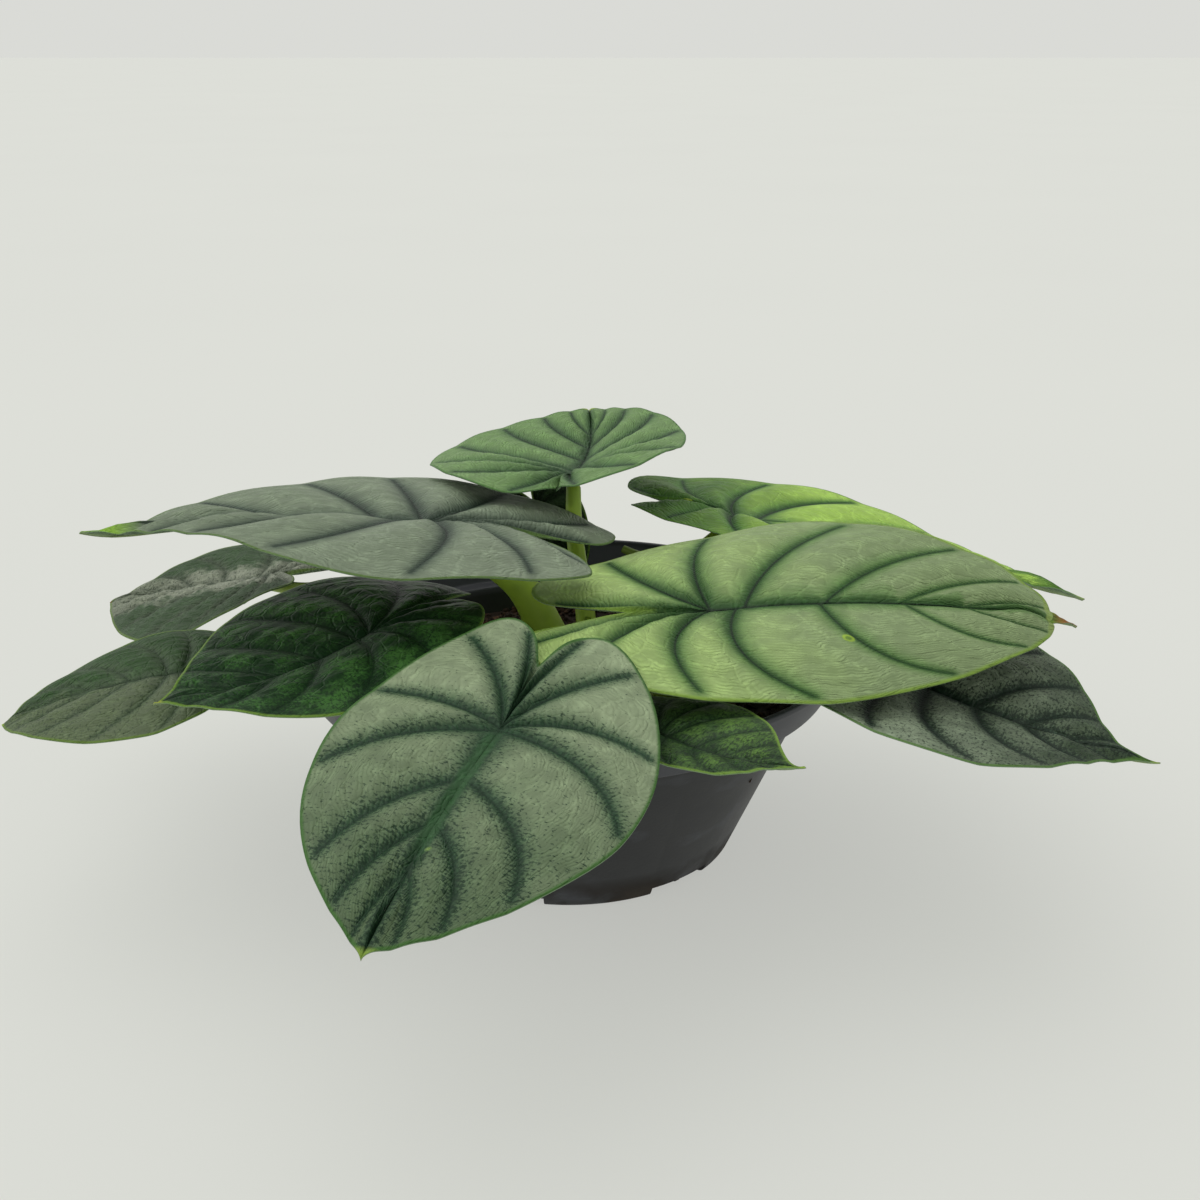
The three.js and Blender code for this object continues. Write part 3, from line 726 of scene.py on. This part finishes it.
def bentPlace(leaf, side, plan):
    # A flat outline place carried onto the bent blade, and the direction square to it
    along, across = plan[..., 0], plan[..., 1]
    steps = blade["bendSteps"]
    spot = np.zeros(along.shape + (3,)) + np.array(leaf["place"], float)
    for step in range(steps):
        forward, _, _ = midribFrame(leaf, along * (step + 0.5) / steps)
        spot += forward * (along / steps)[..., None]
    _, left, up = midribFrame(leaf, along)
    outward = left * (1 if side == 0 else -1)
    bendRate = leaf["droop"][side] / leaf["halfWidth"][side]
    for step in range(steps):
        slope = np.radians(leaf["fold"] - bendRate * across * (step + 0.5) / steps)
        spot += outward * (np.cos(slope) * across / steps)[..., None]
        spot += up * (np.sin(slope) * across / steps)[..., None]
    lean = np.radians(np.where(across > 0, leaf["fold"] - bendRate * across, 0))[..., None]
    return spot, up * np.cos(lean) - outward * np.sin(lean)


def veinTrace(leaf, side):
    # Close-set places and half widths along the main veins of one side, midrib included
    traces = []
    veins = leafVeins(leaf)
    for place, strength in zip(veins["places"][side], veins["strengths"]):
        if strength:
            reach = np.linspace(0, 0.93, 260)
            plan = planPoint(leaf, side, np.full_like(reach, place), reach)
            halfWidth = blade["sideVeinHalfWidth"] * strength * (1 - 0.75 * reach)
            traces.append(np.column_stack([plan, halfWidth]))
    along = np.linspace(traces[-1][0, 0], leaf["length"], 400)
    halfWidth = blade["midribHalfWidth"] * (1 - 0.8 * np.abs(along) / leaf["length"])
    traces.append(np.column_stack([along, 0 * along, halfWidth]))
    return np.concatenate(traces)


def nearest(trace, plan):
    tree = KDTree(len(trace))
    for index, row in enumerate(trace):
        tree.insert((row[0], row[1], 0), index)
    tree.balance()
    found = [tree.find((u, v, 0)) for u, v in plan.reshape(-1, 2)]
    gaps = np.array([distance for _, _, distance in found]).reshape(plan.shape[:-1])
    return gaps, np.array([index for _, index, _ in found]).reshape(plan.shape[:-1])


def halfBlade(leaf, side):
    # One side of the blade as a grid: upper and lower corners and what its material needs to know
    starts = np.array(leafVeins(leaf)["places"][side])
    places = [low + share * (high - low) for low, high in zip(starts, starts[1:])
              for share in blade["panelShares"]]
    reaches = np.linspace(0, 1, blade["rings"]) ** blade["ringCrowding"]
    place, reach = np.meshgrid(places + [1.0], reaches, indexing="ij")
    plan = planPoint(leaf, side, place, reach)
    along, across = plan[..., 0], plan[..., 1]
    spot, square = bentPlace(leaf, side, plan)
    trace = veinTrace(leaf, side)
    gap, index = nearest(trace, plan)
    width = trace[index, 2]
    edgeGap, _ = nearest(marginPoint(leaf, side, np.linspace(0, 1, 900)), plan)
    run = np.cumsum(np.linalg.norm(np.diff(plan, axis=1, prepend=plan[:, :1]), axis=-1), axis=1)
    panel = np.clip(np.searchsorted(starts, place, side="right") - 1, 0, len(starts) - 2)
    share = (place - starts[panel]) / (starts[panel + 1] - starts[panel])

    # Panels puff up between sunken veins, pucker and crumple, and the rim waves a little
    puff = blade["quiltShare"] * leaf["puffed"] * leaf["length"] * np.sin(math.pi * share) ** 1.3
    puff *= np.sin(math.pi * np.minimum(reach, 0.9))
    groove = np.exp(-((gap / (0.5 + 1.2 * width)) ** 2)) * np.minimum(1, width / 0.6)
    ripple = np.sin(run * math.tau / blade["puckerStep"] + 2.1 * panel + 1.7 * side)
    puckers = blade["puckerHeight"] * ripple * np.sin(math.pi * share) * np.minimum(1, edgeGap / 4)
    crumple = np.sin(0.55 * along + 1.1 * across) * np.sin(1.3 * across - 0.4 * along)
    puckers += leaf["crumpled"] * crumple * np.minimum(1, edgeGap / 5)
    wave = np.sin(place * blade["waveTurns"] + 2 * side + leaf["length"])
    wave = blade["waveHeight"] * wave * reach**4
    spot = spot + square * (puff - blade["grooveDepth"] * groove + puckers + wave)[..., None]

    thicker = blade["thickness"] - blade["edgeThickness"]
    half = (blade["edgeThickness"] + thicker * np.minimum(1, edgeGap / blade["thinBand"])) / 2
    rib = blade["midribDepth"] * np.exp(-((gap / (0.4 + 1.1 * width)) ** 2)) * width
    rib *= np.minimum(1, edgeGap / 6)
    upper = spot + square * half[..., None]
    lower = spot - square * (half + rib)[..., None]
    sign = 1 if side == 0 else -1
    facts = {
        "plan": np.stack([along, sign * across, 0 * gap], -1),
        "cell": np.stack([share, panel + 9.0 * side, 0 * gap], -1),
        "vein": np.stack([gap, run, width], -1),
        "skin": np.stack([edgeGap, along / leaf["length"], 0 * gap], -1),
    }
    return upper, lower, facts


def buildBlade(name, leaf):
    # Rows run from the right side's notch over the tip to the left side's notch
    left, right = halfBlade(leaf, 0), halfBlade(leaf, 1)
    upper, lower = (np.concatenate([right[part][::-1], left[part][1:]]) for part in (0, 1))
    facts = {label: np.concatenate([right[2][label][::-1], left[2][label][1:]]) for label in left[2]}
    count, rings = upper.shape[:2]
    corners = np.concatenate([upper.reshape(-1, 3), lower.reshape(-1, 3)])
    # Corners that fall on each other, as along the midrib, become one
    _, first, index = np.unique(np.round(corners, 4), axis=0, return_index=True, return_inverse=True)
    top, under = index.ravel().reshape(2, count, rings)
    quads = [
        (top[:-1, :-1], top[:-1, 1:], top[1:, 1:], top[1:, :-1]),
        (under[:-1, :-1], under[1:, :-1], under[1:, 1:], under[:-1, 1:]),
        (top[:-1, -1], under[:-1, -1], under[1:, -1], top[1:, -1]),
    ]
    loops = np.concatenate([np.stack(quad, -1).reshape(-1, 4) for quad in quads]).tolist()
    faces = [face for face in (list(dict.fromkeys(loop)) for loop in loops) if len(face) > 2]
    attributes = {label: np.concatenate([values.reshape(-1, 3)] * 2)[first]
                  for label, values in facts.items()}
    attributes["underside"] = np.repeat([0.0, 1.0], count * rings)[first]
    piece = addMesh(f"{name}_leaf_blade", corners[first], faces, attributes)
    finishPiece(piece, bladeMaterial(name, {**plainLook, **leaf["look"]}), f"blade_{name}")
    print("leaf", name, "ready,", len(faces), "faces")


# The skin's pattern. Lengths are millimetres and noise scales are per millimetre.
pattern = {
    "crossVeinStep": 1.15,
    "crossVeinSlant": -0.4,
    "crossVeinWander": 5.0,
    "netCells": (3.0, 0.2, 7.0),
    "netLine": 0.09,
    "netTone": 1.16,
    # Strength of the shade and highlight painted along the ridges
    "ridgeShadePainted": 0.24,
    "cloudTone": (0.88, 1.08),
    "feather": -0.45,
    "outerReach": 1.7,
    "outerGround": (0.1, 0.65),
    "innerReach": 1.1,
    "coreDepth": 2.6,
    "star": 0.55,
}


def bladeMaterial(name, look):
    # Living aroid leaf: waxy cuticle over quilted green cells, with sunken dark veins and a pale rim.
    # The ridges are the leaf's own cross veins, about 1.2 mm apart
    title = f"waxy leaf skin, {name.replace('_', ' ')}"
    material, tree, surface = newMaterial(title, IOR=1.45, Specular_IOR_Level=look["shine"])
    plan, vein, skin, cell = (
        addNode(tree, "ShaderNodeAttribute", attribute_name=label).outputs["Vector"]
        for label in ("plan", "vein", "skin", "cell"))
    under = addNode(tree, "ShaderNodeAttribute", attribute_name="underside").outputs["Fac"]
    gap, run, width = splitVector(tree, vein)
    edge, along, _ = splitVector(tree, skin)
    share, panelNumber, _ = splitVector(tree, cell)
    sideways = splitVector(tree, plan)["Y"]
    halo, veined = look["halo"], look["veined"]
    panel, farPanel, shade, deep, dark = look["tints"]

    wander = addNoise(tree, plan, 0.14, 4.0, 0.55)
    fine = addNoise(tree, plan, 1.6, 4.0, 0.65)
    broad = addNoise(tree, plan, 0.07, 3.0)
    patchy = addNoise(tree, plan, 0.25, 2.0)
    # Cross veins leave each side vein slanting outwards, wander a little and fade here and there
    slant = calculate(tree, "MULTIPLY_ADD", gap, pattern["crossVeinSlant"], run)
    bent = calculate(tree, "MULTIPLY_ADD", wander, pattern["crossVeinWander"], slant)
    phase = calculate(tree, "MULTIPLY", bent, math.pi / pattern["crossVeinStep"])
    hump = calculate(tree, "ABSOLUTE", calculate(tree, "SINE", phase))
    ridges = calculate(tree, "MULTIPLY", hump, mapRange(tree, patchy, 0.38, 0.62, 0.15))
    # A coarser net of pale lines joins them, with cells about 5 mm long
    netPlace = addNode(tree, "ShaderNodeCombineXYZ", {"X": share, "Y": bent, "Z": panelNumber})
    cells = addNode(tree, "ShaderNodeVectorMath", {0: netPlace, 1: pattern["netCells"]},
                    operation="MULTIPLY")
    net = addNode(tree, "ShaderNodeTexVoronoi", {"Vector": cells, "Scale": 1.0, "Randomness": 0.9},
                  feature="DISTANCE_TO_EDGE")
    netLine = mapRange(tree, net, 0.0, pattern["netLine"], curve="SMOOTHSTEP")

    # Shade by the veins: a thin dark core, a deep band beside it and a wide soft one, both feathered by
    # the ridges and narrower beside a thin vein
    feather = calculate(tree, "MULTIPLY_ADD", hump, pattern["feather"], gap)
    ragged = calculate(tree, "ADD", fine, feather)
    ground = mapRange(tree, width, 0.0, 0.2, *(halo * part for part in pattern["outerGround"]))
    outerEnd = calculate(tree, "MULTIPLY_ADD", width, halo * pattern["outerReach"], ground)
    outer = mapRange(tree, ragged, 0.0, outerEnd, veined, 0.0, "SMOOTHSTEP")
    innerEnd = calculate(tree, "MULTIPLY_ADD", width, halo * pattern["innerReach"], 1.0)
    inner = mapRange(tree, ragged, 0.0, innerEnd, 0.95 * veined, 0.0, "SMOOTHERSTEP")
    coreEnd = calculate(tree, "MULTIPLY_ADD", width, 1.1, 0.15)
    coreDepth = calculate(tree, "MULTIPLY_ADD", width, pattern["coreDepth"] * veined, 0.1, use_clamp=True)
    core = mapRange(tree, gap, 0.0, coreEnd, coreDepth, 0.0, "SMOOTHSTEP")
    fromStalk = addNode(tree, "ShaderNodeVectorMath", {0: plan}, operation="LENGTH").outputs["Value"]
    star = mapRange(tree, fromStalk, 1.0, 2.0 * halo, pattern["star"], 0.0)

    towardsTip = mapRange(tree, along, *look["fade"])
    cloud = calculate(tree, "MULTIPLY_ADD", broad, 0.8, towardsTip)
    colour = mixColour(tree, mapRange(tree, cloud, 0.3, 1.3), panel, farPanel)
    layers = [(outer, shade), (star, deep), (inner, deep)]
    if look["band"]:
        # Silver lies in one band of the blade only, with a torn edge; the rest is dark green
        low, high = look["band"]
        offset = calculate(tree, "SUBTRACT", sideways, (low + high) / 2)
        fromMiddle = calculate(tree, "ABSOLUTE", offset)
        torn = calculate(tree, "MULTIPLY_ADD", addNoise(tree, plan, 0.16, 6.0, 0.6), 22.0, fromMiddle)
        half = (high - low) / 2
        outside = mapRange(tree, torn, half + 8, half + 14, 0.0, 0.92, "SMOOTHSTEP")
        layers.insert(0, (outside, look["bandOutside"]))
    if look["mottle"]:
        patch = addNoise(tree, plan, 0.11, 6.0, 0.6)
        layers.append((mapRange(tree, patch, 0.44, 0.58, 0.0, look["mottle"]), deep))
    if look["speckle"]:
        # Dark flecks that crowd along the veins and towards the tip
        stretched = addNode(tree, "ShaderNodeVectorMath", {0: plan, 1: (1.25, 0.7, 1.0)},
                            operation="MULTIPLY")
        crowd = calculate(tree, "MULTIPLY_ADD", outer, 0.1, addNoise(tree, stretched, 1.3, 6.0, 0.7))
        crowdTip = calculate(tree, "MULTIPLY_ADD", towardsTip, 0.07, crowd)
        cover = look["cover"]
        flecks = mapRange(tree, crowdTip, 0.66 - cover, 0.72 - cover, 0.0, look["speckle"])
        layers.append((flecks, dark))
    layers.append((core, dark))
    if look["midrib"]:
        # A fleshy green midrib that starts at the leaf stalk and fades towards the tip
        halfBand, tint, end = look["midrib"]
        aside = calculate(tree, "ABSOLUTE", sideways)
        flesh = mapRange(tree, aside, halfBand * 0.6, halfBand * 1.3, 0.85, 0.0)
        fading = mapRange(tree, along, end, end + 0.15, 1.0, 0.0)
        present = calculate(tree, "MULTIPLY", fading, mapRange(tree, along, -0.06, 0.02))
        layers.append((calculate(tree, "MULTIPLY", flesh, present), tint))
    for spot, size, tint, middle in look["marks"]:
        # An old pest scar: a disc with its own middle
        away = addNode(tree, "ShaderNodeVectorMath", {0: plan, 1: (*spot, 0.0)}, operation="DISTANCE")
        for start, end, paint in ((0.75, 1.0, tint), (0.35, 0.55, middle)):
            disc = mapRange(tree, away.outputs["Value"], size * start, size * end, 0.8, 0.0)
            layers.append((disc, paint))
    for factor, tint in layers:
        colour = mixColour(tree, factor, colour, tint)

    # Painted shade and highlight along the ridges, the paler net and a soft cloud of tone over all, then
    # the rim, the tip and the paler underside
    ridge = look["ridge"]
    paintedRidgeShadeAndTone = calculate(tree, "MULTIPLY_ADD", ridges, pattern["ridgeShadePainted"] * ridge, 1 - 0.1 * ridge)
    paintedRidgeShadeAndTone = calculate(tree, "MULTIPLY", paintedRidgeShadeAndTone, mapRange(tree, netLine, 0.0, 1.0, pattern["netTone"]))
    paintedRidgeShadeAndTone = calculate(tree, "MULTIPLY", paintedRidgeShadeAndTone, mapRange(tree, patchy, 0.3, 0.7, *pattern["cloudTone"]))
    lit = mixColour(tree, 1.0, colour, paintedRidgeShadeAndTone, blend_type="MULTIPLY")
    rimNoise = calculate(tree, "MULTIPLY_ADD", fine, -0.5, edge)
    rimStart, rimEnd = look["rim"] * 0.35 - 0.25, look["rim"] * 1.1 - 0.1
    rim = mapRange(tree, rimNoise, rimStart, rimEnd, 0.95, 0.0, "SMOOTHSTEP")
    rimmed = mixColour(tree, rim, lit, look["margin"])
    tip = mapRange(tree, along, look["tipStart"], (1 + look["tipStart"]) / 2, 0.0, 0.9)
    tipped = mixColour(tree, tip, rimmed, look["tip"])
    below = mixColour(tree, core, *blade["underColours"])
    feed(tree, mixColour(tree, under, tipped, below), surface, "Base Color")
    wax = mapRange(tree, fine, 0.0, 1.0, look["gloss"] - 0.08, look["gloss"] + 0.14)
    feed(tree, wax, surface, "Roughness")
    ridgeBump = addBump(tree, ridges, 0.7 * ridge, 0.0005)
    feed(tree, addBump(tree, netLine, 0.45, 0.0004, Normal=ridgeBump), surface, "Normal")
    return material


# Leaf stalks by crown. Each gives its leaf, its radius at the foot and at the end, and its route from
# inside the crown. One without a leaf is a sheath or a rolled young leaf.
crowns = {
    "crown_main": {
        "foot": (4, -12), "radius": 11, "top": 50, "slot": "stalk_lime",
        "stalks": [
            ("top", 3.2, 2, [(5, -7, 46), (4, 4, 62), (1, 17, 80)]),
            ("silver_left", 7.4, 2, [(0, -12, 47), (-5, -12, 60), (-12, -13, 75), (-25, -16, 86)]),
            (None, 5, 1, [(4, -16, 46), (3, -20, 58), (5, -25, 71)]),
            ("green_right", 3.6, 2, [(8, -16, 46), (15, -26, 61), (27, -40, 74)]),
            ("back_right", 3.2, 2, [(9, -8, 46), (20, 8, 61), (36, 22, 73)]),
            ("silver_front", 3.6, 2, [(1, -18, 46), (-3, -44, 57), (-9, -74, 64.8)]),
        ],
    },
    "crown_left": {
        "foot": (-17, -8), "radius": 6.5, "top": 48, "slot": "stalk_green",
        "stalks": [
            ("dark_left", 3, 1.8, [(-17, -11, 46), (-24, -24, 57), (-36, -37, 67)]),
            ("far_left_upper", 3, 1.7, [(-17, -5, 46), (-36, 7, 57), (-64, 16, 63.5), (-76, 18, 63.2)]),
            ("far_left_lower", 2.8, 1.6,
             [(-19, -9, 46), (-42, -19, 57.5), (-66, -30, 63.4), (-81, -36.5, 61.8)]),
        ],
    },
    "crown_right": {
        "foot": (22, -16), "radius": 5.5, "top": 48, "slot": "stalk_green",
        "stalks": [
            ("small_front", 2.5, 1.5, [(20, -19, 46), (18, -46, 56.5), (16, -72, 62.8)]),
            ("dark_right", 2.8, 1.6, [(23, -17, 46), (40, -28, 57), (62, -40, 63.4), (74, -46, 62.6)]),
            ("small_right", 2.2, 1.2, [(22, -13, 46), (44, -8, 59), (72, -9, 68.5)]),
        ],
    },
    "crown_back": {
        "foot": (-12, 50), "radius": 3.6, "top": 47, "slot": "stalk_lime",
        "stalks": [
            ("young_back", 2.2, 1.3, [(-12, 50, 44), (-14, 52, 62), (-12.5, 46, 76)]),
        ],
    },
    "crown_offset": {
        "foot": (33, 40), "radius": 4, "top": 47, "slot": "stalk_green",
        "stalks": [
            (None, 3, 1.2, [(33, 40, 44), (31, 45, 57), (15, 53, 63.2)]),
        ],
    },
}
stalk = {
    "sides": 20,
    "step": 1.6,
    "taper": 0.7,
    "seat": 1.8,
    "endShares": (0.95, 0.85, 0.6),
    "crownDepth": 9,
    "crownSides": 48,
    "crownRounding": (1.5, 2, 2, 2),
}


def smoothRoute(points, perSpan=24):
    # A centripetal Catmull-Rom curve through the points
    points = [np.array(point, float) for point in points]
    points = [2 * points[0] - points[1], *points, 2 * points[-1] - points[-2]]
    curve = []
    for a, b, c, d in zip(points, points[1:], points[2:], points[3:]):
        times = np.cumsum([0] + [np.linalg.norm(q - p) ** 0.5 for p, q in ((a, b), (b, c), (c, d))])
        for time in np.linspace(times[1], times[2], perSpan, endpoint=False):
            first = [p + (q - p) * (time - s) / (t - s)
                     for p, q, s, t in zip((a, b, c), (b, c, d), times, times[1:])]
            second = [p + (q - p) * (time - s) / (t - s)
                      for p, q, s, t in zip(first, first[1:], times, times[2:])]
            curve.append(second[0] + (second[1] - second[0]) * (time - times[1]) / (times[2] - times[1]))
    return np.array([*curve, points[-2]])


def stalkTree():
    # Sweeps a round section along every route, as wide as the route's own radius says
    tree, given = newTree("stalks", {"Step": "Float", "Sides": "Int"})
    curve = addNode(tree, "GeometryNodeMeshToCurve", {"Mesh": given["Geometry"]})
    even = addNode(tree, "GeometryNodeResampleCurve", {"Curve": curve, "Length": given["Step"]},
                   mode="LENGTH")
    width = addNode(tree, "GeometryNodeInputNamedAttribute", {"Name": "stalkRadius"}, data_type="FLOAT")
    section = addNode(tree, "GeometryNodeCurvePrimitiveCircle", {
        "Resolution": given["Sides"], "Radius": 1.0})
    swept = addNode(tree, "GeometryNodeCurveToMesh", {
        "Curve": even, "Profile Curve": section, "Scale": width, "Fill Caps": True})
    return endTree(tree, given, addNode(tree, "GeometryNodeSetShadeSmooth", {"Geometry": swept}))


def stalkMaterial(name, young, old):
    # Fleshy leaf stalk: smooth waxy skin with a fine grain and green spots, older and paler low down
    material, tree, surface = newMaterial(name, IOR=1.42, Specular_IOR_Level=0.45)
    place = objectPlace(tree)
    height = splitVector(tree, place)["Z"]
    grain = addNoise(tree, place, 420.0, 4.0)
    spots = addNoise(tree, place, 130.0, 3.0)
    base = mixColour(tree, mapRange(tree, height, 42 * millimetre, 85 * millimetre), old, young)
    spotted = mixColour(tree, mapRange(tree, spots, 0.5, 0.75, 0.0, 0.45), base, "#7c9c34")
    feed(tree, spotted, surface, "Base Color")
    feed(tree, mapRange(tree, grain, 0.0, 1.0, 0.36, 0.56), surface, "Roughness")
    feed(tree, addBump(tree, grain, 0.3, 0.0002), surface, "Normal")
    return material


def buildCrown(name, crown, tree, material):
    corners = []
    edges = []
    radii = []
    for leafName, footRadius, endRadius, route in crown["stalks"]:
        points = list(route)
        if leafName:
            # The stalk meets the blade just under its skin
            leaf = leaves[leafName]
            _, _, up = midribFrame(leaf, np.array(0.0))
            points.append(tuple(np.array(leaf["place"]) - stalk["seat"] * up))
        points = smoothRoute(points)
        shares = np.linspace(0, 1, len(points))
        width = footRadius + (endRadius - footRadius) * shares ** stalk["taper"]
        if leafName:
            width[-3:] *= stalk["endShares"]
        start = len(corners)
        corners += points.tolist()
        edges += [(start + step, start + step + 1) for step in range(len(points) - 1)]
        radii += (width * millimetre).tolist()
    mesh = bpy.data.meshes.new(name)
    mesh.from_pydata((np.array(corners) * millimetre).tolist(), edges, [])
    mesh.attributes.new("stalkRadius", "FLOAT", "POINT").data.foreach_set("value", radii)
    piece = bpy.data.objects.new(f"{name}_stalks", mesh)
    bpy.context.scene.collection.objects.link(piece)
    applyTree(piece, tree, {
        "Step": stalk["step"] * millimetre, "Sides": stalk["sides"], "Material": material})

    # The swollen stem that the stalks grow from, rooted below the potting mix
    radius, top, level = crown["radius"], crown["top"], soil["level"]
    bottom = level - stalk["crownDepth"]
    profile = roundedProfile(
        [(0, bottom), (0.7 * radius, bottom), (radius, level - 4), (radius, level + 2),
         (0.8 * radius, top - 1.5), (0, top)], stalk["crownRounding"])
    stemCorners, stemFaces = turnedSurface(profile, stalk["crownSides"])
    stem = addMesh("stem", np.array(stemCorners) + (*crown["foot"], 0), stemFaces)
    with bpy.context.temp_override(active_object=piece, selected_editable_objects=[piece, stem]):
        bpy.ops.object.join()
    finishPiece(piece, material, name)


def buildPlant():
    tree = stalkTree()
    materials = {
        "stalk_lime": stalkMaterial("young leaf stalk, lime green", "#9fbf3f", "#a9c444"),
        "stalk_green": stalkMaterial("leaf stalk, green", "#7d9440", "#93a64a"),
    }
    for name, crown in crowns.items():
        buildCrown(name, crown, tree, materials[crown["slot"]])
    print("stalks ready")
    for name, leaf in leaves.items():
        buildBlade(name, leaf)


buildStudio()
buildPot()
buildSoil()
buildPlant()
